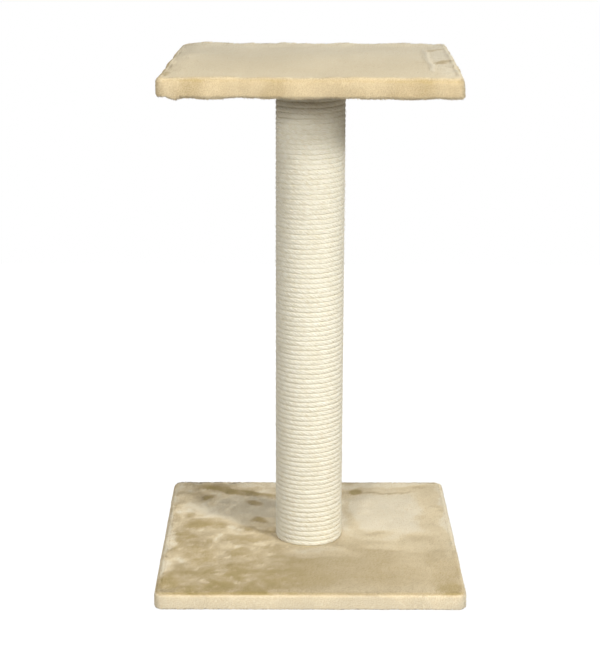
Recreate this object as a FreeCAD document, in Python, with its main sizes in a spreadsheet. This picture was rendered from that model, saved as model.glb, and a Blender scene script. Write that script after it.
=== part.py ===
import FreeCAD, Part
import math
import os

import Sketcher
from FreeCAD import Placement, Rotation, Vector

# Cat scratcher: a square base and a smaller square platform, both boards wrapped in plush,
# joined by one post, a paper tube wound from end to end with sisal rope.
# Millimetres, +Z up. The origin is the centre of the base on the floor, and -Y is the front.

doc = FreeCAD.newDocument("cat_scratcher")
sheet = doc.addObject("Spreadsheet::Sheet", "Sizes")

DRIVING_SIZES = (
    ("base_side", 400.0, "edge of the square base board"),
    ("base_board_thickness", 16.0, "chipboard of the base"),
    ("platform_side", 365.0, "edge of the square platform board"),
    ("platform_board_thickness", 16.0, "chipboard of the platform"),
    ("platform_turn", -1.2, "degrees that the platform stands out of square with the base"),
    ("board_corner_radius", 8.0, "rounded corners of both boards, seen from above"),
    ("plush_thickness", 3.5, "backing and pile of the cover"),
    ("hem_width", 38.0, "cover that is folded under the board's edge"),
    ("lining_thickness", 1.0, "felt under the platform"),
    ("lining_clearance", 0.3, "between the felt's edge and the hem"),
    ("tube_length", 646.5, "post from the base's plush to the platform's felt"),
    ("tube_diameter", 80.0, "outside of the paper tube"),
    ("tube_wall", 6.0, "wall of the paper tube"),
    ("rope_diameter", 6.0, "sisal rope"),
    ("rope_spacing", 0.6, "least gap between two turns of even winding"),
    ("rope_clearance", 0.2, "between the rope and the tube"),
    ("rope_end_clearance", 0.3, "between the end turns and the boards' covers"),
    ("plug_thickness", 22.0, "wooden plug in each end of the tube"),
    ("plug_clearance", 0.05, "between the plug and the tube"),
    ("thread_diameter", 8.0, "bolt and stud"),
    ("thread_clearance", 0.05, "between a thread and its nut"),
    ("bolt_hole_diameter", 9.0, "hole for the bolt or stud in covers, felt and base board"),
    ("bolt_head_diameter", 14.0, "button head"),
    ("bolt_head_height", 4.4, "button head"),
    ("bolt_socket_width", 5.0, "hexagon socket across its flats"),
    ("bolt_socket_depth", 2.8, "hexagon socket"),
    ("bolt_tip_clearance", 1.5, "from the tip of a bolt or stud to the far end of its nut"),
    ("tip_chamfer", 0.8, "bevel on the tips of the bolt and the stud"),
    ("washer_diameter", 24.0, "under the bolt's head"),
    ("washer_thickness", 2.0, "under the bolt's head"),
    ("washer_clearance", 0.2, "round the bolt's shank in the washer"),
    ("recess_clearance", 1.0, "round the washer in the base board"),
    ("head_cover", 0.6, "how far the bolt's head lies inside the base board"),
    ("nut_flange_diameter", 22.0, "flange of a tee nut"),
    ("nut_flange_thickness", 1.5, "flange of a tee nut"),
    ("nut_barrel_diameter", 10.0, "barrel of a tee nut"),
    ("nut_barrel_length", 11.0, "barrel of a tee nut beyond its flange"),
    ("nut_barrel_clearance", 0.05, "round the barrel in the wood"),
    ("nut_flange_clearance", 0.3, "round the flange in the platform board"),
    ("prong_width", 3.0, "prong of a tee nut"),
    ("prong_thickness", 1.2, "prong of a tee nut"),
    ("prong_length", 6.0, "prong of a tee nut"),
    ("prong_inset", 0.6, "from the flange's rim to its prongs"),
    ("nail_diameter", 1.8, "nails that hold the plugs"),
    ("nail_length", 18.0, "nails that hold the plugs"),
    ("nail_sink", 0.2, "how far a nail's head lies inside the tube's face"),
    ("staple_crown", 10.0, "staple, outside width"),
    ("staple_leg", 8.0, "staple, leg below the crown"),
    ("staple_wire_width", 1.2, "flat staple wire"),
    ("staple_wire_thickness", 0.6, "flat staple wire"),
    ("staple_sink", 0.3, "how far a crown lies inside the plush"),
    ("staple_spacing", 44.0, "between the hem's staples"),
    ("staple_inset", 11.0, "from the hem's raw edge to its staples"),
    ("rope_staple_leg", 14.0, "leg of the staples through the rope's ends"),
)
PRONG_COUNT = 4
NAILS_PER_PLUG = 4
ROPE_LENGTHS = 4

for row, (alias, value, meaning) in enumerate(DRIVING_SIZES, start=1):
    sheet.set(f"A{row}", alias)
    sheet.set(f"B{row}", str(value))
    sheet.set(f"C{row}", meaning)
    sheet.setAlias(f"B{row}", alias)
doc.recompute()


def size(alias):
    return float(sheet.get(alias))


# Heights and stacks that several pieces share, as expressions on the sheet.
BASE_BOARD_BOTTOM = "Sizes.plush_thickness"
BASE_TOP = "(Sizes.base_board_thickness + 2 * Sizes.plush_thickness)"
POST_TOP = f"({BASE_TOP} + Sizes.tube_length)"
TOP_PLUG_BOTTOM = f"({POST_TOP} - Sizes.plug_thickness)"
BOTTOM_PLUG_TOP = f"({BASE_TOP} + Sizes.plug_thickness)"
PLATFORM_BOARD_BOTTOM = f"({POST_TOP} + Sizes.lining_thickness)"
PLATFORM_BOARD_TOP = f"({PLATFORM_BOARD_BOTTOM} + Sizes.platform_board_thickness)"
PLATFORM_HEM_BOTTOM = f"({PLATFORM_BOARD_BOTTOM} - Sizes.plush_thickness)"
RECESS_DEPTH = "(Sizes.washer_thickness + Sizes.bolt_head_height + Sizes.head_cover)"
HEAD_SEAT = f"({BASE_BOARD_BOTTOM} + Sizes.head_cover + Sizes.bolt_head_height)"
BOLT_LENGTH = f"({BOTTOM_PLUG_TOP} - {HEAD_SEAT} - Sizes.bolt_tip_clearance)"
STUD_TOP = f"({PLATFORM_BOARD_TOP} - Sizes.nut_flange_thickness - Sizes.bolt_tip_clearance)"
STUD_LENGTH = f"({STUD_TOP} - {TOP_PLUG_BOTTOM})"
THREAD_RADIUS = "Sizes.thread_diameter / 2"
NUT_BORE_RADIUS = "(Sizes.thread_diameter / 2 + Sizes.thread_clearance)"
BARREL_HOLE = "(Sizes.nut_barrel_diameter + 2 * Sizes.nut_barrel_clearance)"


def number(expression):
    return float(sheet.evalExpression(expression))


# Sketches and features that several pieces are made with.

def origin_plane(body, role):
    return next(f for f in body.Origin.OriginFeatures if f.Role == role)


def new_sketch(body, name, role, height=None):
    """A sketch on one of the body's own origin planes, lifted by an expression where one is given."""
    sketch = body.newObject("Sketcher::SketchObject", name)
    sketch.AttachmentSupport = [(origin_plane(body, role), "")]
    sketch.MapMode = "FlatFace"
    if height:
        sketch.AttachmentOffset = Placement(Vector(0, 0, number(height)), Rotation())
        sketch.setExpression("AttachmentOffset.Base.z", height)
    return sketch


def bind(sketch, name, expression, *constraint):
    """Adds a dimension to a sketch and ties it to an expression."""
    index = sketch.addConstraint(Sketcher.Constraint(*constraint, number(expression)))
    sketch.renameConstraint(index, name)
    sketch.setExpression(f"Constraints.{name}", expression)


def draw_circle(sketch, name, diameter):
    circle = sketch.addGeometry(Part.Circle(Vector(), Vector(0, 0, 1), number(diameter) / 2))
    sketch.addConstraint(Sketcher.Constraint("Coincident", circle, 3, -1, 1))
    bind(sketch, name, diameter, "Diameter", circle)


def draw_rounded_square(sketch, side, radius):
    """A square on the sketch's origin: side 0 is the front, and corner 0 lies between sides 0 and 1."""
    half = number(side) / 2
    round_off = number(radius)
    flat = half - round_off
    fronts = [Vector(-flat, -half), Vector(half, -flat), Vector(flat, half), Vector(-half, flat)]
    ends = [Vector(flat, -half), Vector(half, flat), Vector(-flat, half), Vector(-half, -flat)]
    centres = [Vector(flat, -flat), Vector(flat, flat), Vector(-flat, flat), Vector(-flat, -flat)]
    sides = [sketch.addGeometry(Part.LineSegment(a, b)) for a, b in zip(fronts, ends)]
    corners = []
    for quarter, centre in enumerate(centres):
        circle = Part.Circle(centre, Vector(0, 0, 1), round_off)
        first = (quarter - 1) * math.pi / 2
        corners.append(sketch.addGeometry(Part.ArcOfCircle(circle, first, first + math.pi / 2)))
    for i in range(4):
        sketch.addConstraint(Sketcher.Constraint("Tangent", sides[i], 2, corners[i], 1))
        sketch.addConstraint(Sketcher.Constraint("Tangent", corners[i], 2, sides[(i + 1) % 4], 1))
        sketch.addConstraint(Sketcher.Constraint("Vertical" if i % 2 else "Horizontal", sides[i]))
    for i in range(1, 4):
        sketch.addConstraint(Sketcher.Constraint("Equal", corners[0], corners[i]))
    sketch.addConstraint(Sketcher.Constraint("Symmetric", corners[0], 3, corners[2], 3, -1, 1))
    bind(sketch, "corner", radius, "Radius", corners[0])
    bind(sketch, "width", side, "DistanceX", sides[3], 1, sides[1], 1)
    bind(sketch, "depth", side, "DistanceY", sides[0], 1, sides[2], 1)


def draw_outline(sketch, points):
    """A closed outline of straight lines through points (across, up), each an expression or 0."""
    places = [Vector(number(x) if x else 0, number(y) if y else 0) for x, y in points]
    count = len(points)
    lines = [
        sketch.addGeometry(Part.LineSegment(places[i], places[(i + 1) % count]))
        for i in range(count)
    ]
    for i, (across, up) in enumerate(points):
        sketch.addConstraint(Sketcher.Constraint("Coincident", lines[i - 1], 2, lines[i], 1))
        if across:
            bind(sketch, f"across_{i}", across, "DistanceX", -1, 1, lines[i], 1)
        else:
            sketch.addConstraint(Sketcher.Constraint("PointOnObject", lines[i], 1, -2))
        if up:
            bind(sketch, f"up_{i}", up, "DistanceY", -1, 1, lines[i], 1)
        else:
            sketch.addConstraint(Sketcher.Constraint("PointOnObject", lines[i], 1, -1))


def draw_hexagon(sketch, width):
    """A hexagon on the origin, measured across its flats, with two flats level."""
    reach = number(width) / math.sqrt(3)
    tips = [
        Vector(reach * math.cos(i * math.pi / 3), reach * math.sin(i * math.pi / 3))
        for i in range(6)
    ]
    lines = [sketch.addGeometry(Part.LineSegment(tips[i], tips[(i + 1) % 6])) for i in range(6)]
    guide = sketch.addGeometry(Part.Circle(Vector(), Vector(0, 0, 1), reach), True)
    sketch.addConstraint(Sketcher.Constraint("Coincident", guide, 3, -1, 1))
    for i in range(6):
        sketch.addConstraint(Sketcher.Constraint("Coincident", lines[i - 1], 2, lines[i], 1))
        sketch.addConstraint(Sketcher.Constraint("PointOnObject", lines[i], 1, guide))
    for i in range(1, 6):
        sketch.addConstraint(Sketcher.Constraint("Equal", lines[0], lines[i]))
    sketch.addConstraint(Sketcher.Constraint("Horizontal", lines[1]))
    bind(sketch, "flats", width, "DistanceY", lines[4], 1, lines[1], 1)


def new_body(label):
    body = doc.addObject("PartDesign::Body", label)
    body.Label = label
    return body


def pad(body, name, sketch, length, down=False):
    feature = body.newObject("PartDesign::Pad", name)
    feature.Profile = sketch
    feature.Reversed = down
    feature.Length = number(length)
    feature.setExpression("Length", length)
    return feature


def pocket_up(body, name, sketch, depth):
    """Cuts upwards from a sketch, and makes sure that it took material away."""
    doc.recompute()
    before = body.Shape.Volume
    feature = body.newObject("PartDesign::Pocket", name)
    feature.Profile = sketch
    feature.Reversed = True
    feature.Length = number(depth)
    feature.setExpression("Length", depth)
    doc.recompute()
    if not body.Shape.Volume < before:
        raise RuntimeError(f"{name} cut nothing")
    return feature


def hole_up(body, name, diameter, bottom, depth):
    sketch = new_sketch(body, f"{name}_sketch", "XY_Plane", bottom)
    draw_circle(sketch, "bore", diameter)
    return pocket_up(body, name, sketch, depth)


def turned(label, points):
    """A body turned about Z from an outline of (radius, height)."""
    body = new_body(label)
    sketch = new_sketch(body, f"{label}_outline", "XZ_Plane")
    draw_outline(sketch, points)
    feature = body.newObject("PartDesign::Revolution", f"{label}_turning")
    feature.Profile = sketch
    feature.ReferenceAxis = (sketch, ["V_Axis"])
    feature.Angle = 360.0
    return body


def stand(piece, height, turn=None):
    """Lifts a piece to a height, and turns it about the post's axis, both as expressions."""
    angle = number(turn) if turn else 0.0
    piece.Placement = Placement(Vector(0, 0, number(height)), Rotation(Vector(0, 0, 1), angle))
    piece.setExpression("Placement.Base.z", height)
    if turn:
        piece.setExpression("Placement.Rotation.Angle", turn)


def shaped(label, shape, height=None, turn=None):
    """A piece whose shape is worked out in code from the sheet's sizes."""
    piece = doc.addObject("Part::Feature", label)
    piece.Label = label
    piece.Shape = shape
    if height:
        stand(piece, height, turn)
    return piece


# The boards: chipboard squares with rounded corners, bored for the bolt or the nut.

def board(label, side, thickness):
    body = new_body(label)
    outline = new_sketch(body, f"{label}_outline", "XY_Plane")
    draw_rounded_square(outline, side, "Sizes.board_corner_radius")
    pad(body, f"{label}_panel", outline, thickness)
    return body


base_board = board("base_board", "Sizes.base_side", "Sizes.base_board_thickness")
hole_up(
    base_board,
    "washer_recess",
    "Sizes.washer_diameter + 2 * Sizes.recess_clearance",
    None,
    RECESS_DEPTH,
)
hole_up(
    base_board,
    "base_bolt_hole",
    "Sizes.bolt_hole_diameter",
    RECESS_DEPTH,
    f"Sizes.base_board_thickness - {RECESS_DEPTH}",
)
stand(base_board, BASE_BOARD_BOTTOM)

platform_board = board("platform_board", "Sizes.platform_side", "Sizes.platform_board_thickness")
hole_up(
    platform_board, "platform_nut_hole", BARREL_HOLE, None, "Sizes.platform_board_thickness"
)
hole_up(
    platform_board,
    "platform_flange_recess",
    "Sizes.nut_flange_diameter + 2 * Sizes.nut_flange_clearance",
    "Sizes.platform_board_thickness - Sizes.nut_flange_thickness",
    "Sizes.nut_flange_thickness",
)
stand(platform_board, PLATFORM_BOARD_BOTTOM, "Sizes.platform_turn")


# The covers: one sheet of plush over each board's top and edges, folded under as a hem.

def cover(label, side, thickness, bolt_hole):
    body = new_body(label)
    whole = f"({thickness} + 2 * Sizes.plush_thickness)"
    outline = new_sketch(body, f"{label}_outline", "XY_Plane")
    draw_rounded_square(
        outline,
        f"{side} + 2 * Sizes.plush_thickness",
        "Sizes.board_corner_radius + Sizes.plush_thickness",
    )
    block = pad(body, f"{label}_block", outline, whole)
    doc.recompute()
    rims = [
        f"Edge{i}"
        for i, edge in enumerate(block.Shape.Edges, start=1)
        if edge.BoundBox.ZLength < edge.Length / 2
    ]
    rounding = body.newObject("PartDesign::Fillet", f"{label}_rounding")
    rounding.Base = (block, rims)
    rounding.Radius = number("Sizes.plush_thickness")
    rounding.setExpression("Radius", "Sizes.plush_thickness")
    opening = new_sketch(body, f"{label}_hem_edge", "XY_Plane")
    draw_rounded_square(
        opening, f"{side} - 2 * Sizes.hem_width", "Sizes.board_corner_radius"
    )
    pocket_up(body, f"{label}_hem_opening", opening, "Sizes.plush_thickness")
    inside = new_sketch(body, f"{label}_inside", "XY_Plane", "Sizes.plush_thickness")
    draw_rounded_square(inside, side, "Sizes.board_corner_radius")
    pocket_up(body, f"{label}_board_space", inside, thickness)
    if bolt_hole:
        hole_up(
            body,
            f"{label}_bolt_hole",
            "Sizes.bolt_hole_diameter",
            f"{thickness} + Sizes.plush_thickness",
            "Sizes.plush_thickness",
        )
    return body


cover("base_plush_cover", "Sizes.base_side", "Sizes.base_board_thickness", bolt_hole=True)
platform_cover = cover(
    "platform_plush_cover", "Sizes.platform_side", "Sizes.platform_board_thickness", bolt_hole=False
)
stand(platform_cover, PLATFORM_HEM_BOTTOM, "Sizes.platform_turn")


# The felt under the platform, inside its hem.

lining = new_body("platform_lining")
lining_outline = new_sketch(lining, "lining_outline", "XY_Plane")
draw_rounded_square(
    lining_outline,
    "Sizes.platform_side - 2 * Sizes.hem_width - 2 * Sizes.lining_clearance",
    "Sizes.board_corner_radius",
)
pad(lining, "lining_sheet", lining_outline, "Sizes.lining_thickness")
hole_up(lining, "lining_hole", "Sizes.bolt_hole_diameter", None, "Sizes.lining_thickness")
stand(lining, POST_TOP, "Sizes.platform_turn")


# The post: a paper tube with a wooden plug in each end.

tube = turned(
    "post_tube",
    (
        ("Sizes.tube_diameter / 2 - Sizes.tube_wall", 0),
        ("Sizes.tube_diameter / 2", 0),
        ("Sizes.tube_diameter / 2", "Sizes.tube_length"),
        ("Sizes.tube_diameter / 2 - Sizes.tube_wall", "Sizes.tube_length"),
    ),
)
stand(tube, BASE_TOP)

PLUG_RADIUS = "Sizes.tube_diameter / 2 - Sizes.tube_wall - Sizes.plug_clearance"
for plug_label, plug_bottom in (
    ("post_bottom_plug", BASE_TOP),
    ("post_top_plug", TOP_PLUG_BOTTOM),
):
    plug = turned(
        plug_label,
        (
            (f"{BARREL_HOLE} / 2", 0),
            (PLUG_RADIUS, 0),
            (PLUG_RADIUS, "Sizes.plug_thickness"),
            (f"{BARREL_HOLE} / 2", "Sizes.plug_thickness"),
        ),
    )
    stand(plug, plug_bottom)


# The tee nuts: a flange, a barrel and prongs that bite into the wood beside the barrel.

def tee_nut(label, flange_on_top):
    barrel = "Sizes.nut_barrel_diameter / 2"
    flange = "Sizes.nut_flange_diameter / 2"
    whole = "Sizes.nut_barrel_length + Sizes.nut_flange_thickness"
    step = "Sizes.nut_barrel_length" if flange_on_top else "Sizes.nut_flange_thickness"
    lower = barrel if flange_on_top else flange
    upper = flange if flange_on_top else barrel
    body = turned(
        label,
        (
            (NUT_BORE_RADIUS, 0),
            (lower, 0),
            (lower, step),
            (upper, step),
            (upper, whole),
            (NUT_BORE_RADIUS, whole),
        ),
    )
    root = new_sketch(body, f"{label}_prong_root", "XY_Plane", step)
    rim = f"{flange} - Sizes.prong_inset"
    near = f"{rim} - Sizes.prong_thickness"
    across = number("Sizes.prong_width") / 2
    lines = []
    corners = [
        Vector(number(near), -across),
        Vector(number(rim), -across),
        Vector(number(rim), across),
        Vector(number(near), across),
    ]
    for i in range(4):
        lines.append(root.addGeometry(Part.LineSegment(corners[i], corners[(i + 1) % 4])))
    for i in range(4):
        root.addConstraint(Sketcher.Constraint("Coincident", lines[i - 1], 2, lines[i], 1))
    root.addConstraint(Sketcher.Constraint("Horizontal", lines[0]))
    root.addConstraint(Sketcher.Constraint("Horizontal", lines[2]))
    root.addConstraint(Sketcher.Constraint("Vertical", lines[3]))
    root.addConstraint(Sketcher.Constraint("Symmetric", lines[1], 1, lines[1], 2, -1))
    bind(root, "near", near, "DistanceX", -1, 1, lines[0], 1)
    bind(root, "rim", rim, "DistanceX", -1, 1, lines[0], 2)
    bind(root, "width", "Sizes.prong_width", "DistanceY", lines[1], 1, lines[1], 2)
    prong = pad(body, f"{label}_prong", root, "Sizes.prong_length", down=flange_on_top)
    doc.recompute()
    ring = body.newObject("PartDesign::PolarPattern", f"{label}_prongs")
    ring.Originals = [prong]
    ring.Axis = (origin_axis(body, "Z_Axis"), [""])
    ring.Angle = 360.0
    ring.Occurrences = PRONG_COUNT
    body.Tip = ring
    return body


def origin_axis(body, role):
    return next(f for f in body.Origin.OriginFeatures if f.Role == role)


stand(
    tee_nut("post_bottom_tee_nut", flange_on_top=True),
    f"{BOTTOM_PLUG_TOP} - Sizes.nut_barrel_length",
)
stand(
    tee_nut("post_top_tee_nut", flange_on_top=False),
    f"{TOP_PLUG_BOTTOM} - Sizes.nut_flange_thickness",
)
stand(
    tee_nut("platform_tee_nut", flange_on_top=True),
    f"{PLATFORM_BOARD_TOP} - Sizes.nut_flange_thickness - Sizes.nut_barrel_length",
    "Sizes.platform_turn",
)


# The bolt and washer under the base, and the stud that the platform is screwed onto.

TIP_RADIUS = f"{THREAD_RADIUS} - Sizes.tip_chamfer"
HEAD_CROWN_RADIUS = "Sizes.bolt_head_diameter / 2 - Sizes.bolt_head_height / 3"
BOLT_TIP = f"Sizes.bolt_head_height + {BOLT_LENGTH}"
bolt = turned(
    "base_bolt",
    (
        (0, 0),
        (HEAD_CROWN_RADIUS, 0),
        ("Sizes.bolt_head_diameter / 2", "Sizes.bolt_head_height * 2 / 3"),
        ("Sizes.bolt_head_diameter / 2", "Sizes.bolt_head_height"),
        (THREAD_RADIUS, "Sizes.bolt_head_height"),
        (THREAD_RADIUS, f"{BOLT_TIP} - Sizes.tip_chamfer"),
        (TIP_RADIUS, BOLT_TIP),
        (0, BOLT_TIP),
    ),
)
socket = new_sketch(bolt, "bolt_socket_outline", "XY_Plane")
draw_hexagon(socket, "Sizes.bolt_socket_width")
pocket_up(bolt, "bolt_socket", socket, "Sizes.bolt_socket_depth")
stand(bolt, f"{HEAD_SEAT} - Sizes.bolt_head_height")

WASHER_BORE = f"{THREAD_RADIUS} + Sizes.washer_clearance"
washer = turned(
    "base_washer",
    (
        (WASHER_BORE, 0),
        ("Sizes.washer_diameter / 2", 0),
        ("Sizes.washer_diameter / 2", "Sizes.washer_thickness"),
        (WASHER_BORE, "Sizes.washer_thickness"),
    ),
)
stand(washer, HEAD_SEAT)

stud = turned(
    "platform_stud",
    (
        (0, 0),
        (TIP_RADIUS, 0),
        (THREAD_RADIUS, "Sizes.tip_chamfer"),
        (THREAD_RADIUS, f"{STUD_LENGTH} - Sizes.tip_chamfer"),
        (TIP_RADIUS, STUD_LENGTH),
        (0, STUD_LENGTH),
    ),
)
stand(stud, TOP_PLUG_BOTTOM)


# The sisal rope: one winding from the bottom of the tube to its top, made as end-to-end lengths.
# Each end turn lies flat along the tube's end and steps up to the next turn in a quarter turn,
# and the turns beyond it ease into an even helix.

STEP_SHARE = 0.25
EASING_TURNS = 8
SECTIONS_PER_TURN = 4
ROPE_START = math.radians(135.0)
SAMPLES_PER_ARC = 8

rope_d = size("rope_diameter")
winding_radius = size("tube_diameter") / 2 + size("rope_clearance") + rope_d / 2
winding_bottom = number(BASE_TOP) + size("rope_end_clearance") + rope_d / 2
winding_rise = size("tube_length") - 2 * size("rope_end_clearance") - rope_d
turns_per_length = math.floor(winding_rise / (rope_d + size("rope_spacing")) / ROPE_LENGTHS)
rope_turns = ROPE_LENGTHS * turns_per_length
rope_pitch = winding_rise / rope_turns


def climb(turn):
    """Height after so many turns, counted in pitches."""
    if turn > rope_turns / 2:
        return rope_turns - climb(rope_turns - turn)
    whole = math.floor(turn)
    part = turn - whole
    ease = min(1.0, whole / EASING_TURNS)
    share = max(0.0, (part - 1 + STEP_SHARE) / STEP_SHARE)
    step = share * share * (3 - 2 * share)
    return whole + ease * part + (1 - ease) * step


def rope_point(turn):
    angle = ROPE_START + 2 * math.pi * turn
    return Vector(
        winding_radius * math.cos(angle),
        winding_radius * math.sin(angle),
        winding_bottom + rope_pitch * climb(turn),
    )


def rope_direction(turn):
    angle = ROPE_START + 2 * math.pi * turn
    nudge = 0.01
    before = max(0.0, turn - nudge)
    after = min(float(rope_turns), turn + nudge)
    rise = rope_pitch * (climb(after) - climb(before)) / (after - before)
    around = 2 * math.pi * winding_radius
    return Vector(-around * math.sin(angle), around * math.cos(angle), rise).normalize()


def arc_between(start, heading, end):
    """The arc from start, leaving along heading, to end."""
    chord = end - start
    along = Vector(chord).normalize()
    side = (heading - along * heading.dot(along)).normalize()
    turn = math.acos(max(-1.0, min(1.0, heading.dot(along))))
    middle = (start + end) / 2 + side * (chord.Length / 2 * math.tan(turn / 2))
    return Part.Arc(start, middle, end)


def biarc(start, start_heading, end, end_heading):
    """Two arcs that leave start and reach end along the given headings."""
    span = end - start
    both = start_heading + end_heading
    slack = 2 * (1 - start_heading.dot(end_heading))
    reach = (math.sqrt(span.dot(both) ** 2 + slack * span.dot(span)) - span.dot(both)) / slack
    joint = (start + start_heading * reach + end - end_heading * reach) / 2
    back = arc_between(end, end_heading * -1, joint)
    back_curve = back.toShape().Curve
    back_ends = back.toShape().ParameterRange
    halfway = back_curve.value(sum(back_ends) / 2)
    return [arc_between(start, start_heading, joint), Part.Arc(joint, halfway, end)]


def rope_path(first_turn, last_turn):
    """The curves of one length of rope, with a straight run of one diameter at each end."""
    first_heading = rope_direction(first_turn)
    last_heading = rope_direction(last_turn)
    first = rope_point(first_turn)
    last = rope_point(last_turn)
    run_in = first + first_heading * rope_d
    run_out = last - last_heading * rope_d
    count = round((last_turn - first_turn) * SECTIONS_PER_TURN)
    stops = [first_turn + i / SECTIONS_PER_TURN for i in range(1, count)]
    points = [run_in, *map(rope_point, stops), run_out]
    headings = [first_heading, *map(rope_direction, stops), last_heading]
    curves = [Part.LineSegment(first, run_in)]
    for i in range(count):
        curves += biarc(points[i], headings[i], points[i + 1], headings[i + 1])
    curves.append(Part.LineSegment(run_out, last))
    return curves


def rope_solid(curves):
    path = Part.Wire([curve.toShape() for curve in curves])
    start = curves[0].StartPoint
    heading = curves[0].EndPoint - start
    section = Part.Wire([Part.Circle(start, heading, rope_d / 2).toShape()])
    return path.makePipeShell([section], True, False)


def samples_along(curves):
    """Points along a path, evenly spaced on each curve."""
    points = []
    for curve in curves:
        edge = curve.toShape()
        steps = edge.discretize(Number=SAMPLES_PER_ARC + 1)
        points += steps[:-1]
    return points


def least_gap(points):
    """The least space between a turn and the one above it."""
    per_turn = SECTIONS_PER_TURN * 2 * SAMPLES_PER_ARC
    window = per_turn // 8
    least = math.inf
    for i, point in enumerate(points):
        for other in points[i + per_turn - window : i + per_turn + window]:
            least = min(least, point.distanceToPoint(other))
    return least - rope_d


rope_points = []
for length in range(ROPE_LENGTHS):
    curves = rope_path(length * turns_per_length, (length + 1) * turns_per_length)
    shaped(f"sisal_rope_{length + 1}", rope_solid(curves))
    rope_points += samples_along(curves)
rope_gap = least_gap(rope_points)
print(f"rope: {rope_turns} turns at {rope_pitch:.3f} mm, least gap to itself {rope_gap:.3f} mm")


# Nails through the tube into the plugs.

def plug_nails(height):
    outside = size("tube_diameter") / 2 - size("nail_sink")
    nails = []
    for i in range(NAILS_PER_PLUG):
        angle = 2 * math.pi * (i + 0.5) / NAILS_PER_PLUG
        inward = Vector(-math.cos(angle), -math.sin(angle), 0)
        head = inward * -outside + Vector(0, 0, height)
        nails.append(
            Part.makeCylinder(size("nail_diameter") / 2, size("nail_length"), head, inward)
        )
    return Part.makeCompound(nails)


shaped("bottom_plug_nails", plug_nails(number(f"{BASE_TOP} + Sizes.plug_thickness / 2")))
shaped("top_plug_nails", plug_nails(number(f"{POST_TOP} - Sizes.plug_thickness / 2")))


# Staples: a flat wire crown with two legs. The hems' staples point up into the boards, and
# those of the rope's two ends point inwards through the rope, the tube and the plug.

def staple(leg):
    """A staple with its crown centred on the origin along X, the crown's back at z = 0, legs up."""
    crown = size("staple_crown")
    width = size("staple_wire_width")
    wire = size("staple_wire_thickness")
    whole = Part.makeBox(crown, width, wire, Vector(-crown / 2, -width / 2, 0))
    for left in (-crown / 2, crown / 2 - wire):
        whole = whole.fuse(Part.makeBox(wire, width, leg + wire, Vector(left, -width / 2, 0)))
    return whole.removeSplitter()


def hem_staples(side):
    """Staples along the four sides of a hem whose lower face is at z = 0."""
    from_centre = side / 2 - size("hem_width") + size("staple_inset")
    run = 2 * from_centre - size("staple_spacing")
    count = max(2, math.floor(run / size("staple_spacing")) + 1)
    staples = []
    for quarter in range(4):
        turn = Placement(Vector(), Rotation(Vector(0, 0, 1), 90.0 * quarter))
        for i in range(count):
            place = Vector(run * (i / (count - 1) - 0.5), -from_centre, size("staple_sink"))
            one = staple(size("staple_leg"))
            one.Placement = turn.multiply(Placement(place, Rotation()))
            staples.append(one)
    return Part.makeCompound(staples)


shaped("base_cover_staples", hem_staples(size("base_side")))
shaped(
    "platform_cover_staples",
    hem_staples(size("platform_side")),
    PLATFORM_HEM_BOTTOM,
    "Sizes.platform_turn",
)


def rope_staple(turn):
    """A staple through the rope after so many turns, its crown along the rope."""
    centre = rope_point(turn)
    inward = Vector(-centre.x, -centre.y, 0).normalize()
    along = Vector(-inward.y, inward.x, 0)
    back = centre - inward * (rope_d / 2)
    one = staple(size("rope_staple_leg"))
    one.Placement = Placement(back, Rotation(along, Vector(), inward, "ZXY"))
    return one


staple_turn = size("staple_crown") / (2 * math.pi * winding_radius)
shaped(
    "rope_end_staples",
    Part.makeCompound([rope_staple(staple_turn), rope_staple(rope_turns - staple_turn)]),
)


# Every piece is checked before anything is written.

doc.recompute()
pieces = [
    piece
    for piece in doc.Objects
    if piece.isDerivedFrom("PartDesign::Body") or piece.TypeId == "Part::Feature"
]
for piece in doc.Objects:
    if "Invalid" in piece.State or "Error" in piece.State:
        raise RuntimeError(f"{piece.Label} failed: {piece.State}")
for piece in pieces:
    if piece.Shape.isNull() or not piece.Shape.isValid() or not piece.Shape.Solids:
        raise RuntimeError(f"{piece.Label} has no valid shape")
os.makedirs("parts", exist_ok=True)
for piece in pieces:
    piece.Shape.exportStep(f"parts/{piece.Label}.step")
print(f"{len(pieces)} pieces written")
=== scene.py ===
import math

import bmesh
import bpy
import numpy as np
from mathutils import Matrix, Vector, noise


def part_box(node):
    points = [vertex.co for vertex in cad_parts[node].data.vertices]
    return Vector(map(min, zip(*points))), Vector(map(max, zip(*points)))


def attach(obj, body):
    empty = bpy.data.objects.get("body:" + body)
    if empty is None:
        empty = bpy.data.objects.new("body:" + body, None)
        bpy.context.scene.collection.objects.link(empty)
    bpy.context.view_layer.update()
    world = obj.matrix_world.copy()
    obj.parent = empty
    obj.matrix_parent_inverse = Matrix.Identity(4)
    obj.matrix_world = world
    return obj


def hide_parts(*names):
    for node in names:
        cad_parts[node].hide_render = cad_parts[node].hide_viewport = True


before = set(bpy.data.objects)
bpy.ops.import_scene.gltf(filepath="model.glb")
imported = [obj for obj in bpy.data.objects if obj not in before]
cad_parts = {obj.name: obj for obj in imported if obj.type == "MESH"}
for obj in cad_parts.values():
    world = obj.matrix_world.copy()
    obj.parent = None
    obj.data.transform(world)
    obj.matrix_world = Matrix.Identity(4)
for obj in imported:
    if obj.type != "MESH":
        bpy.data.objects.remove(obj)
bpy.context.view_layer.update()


# The boards: two squares of raw chipboard, pressed from wood flakes and resin and sawn to size.
# The base board shows from below, inside the hem of its cover.

def linear(code):
    """A hex colour as linear red, green, blue and alpha."""
    levels = [int(code[i : i + 2], 16) / 255 for i in (1, 3, 5)]
    return [v / 12.92 if v <= 0.04045 else ((v + 0.055) / 1.055) ** 2.4 for v in levels] + [1.0]


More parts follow.
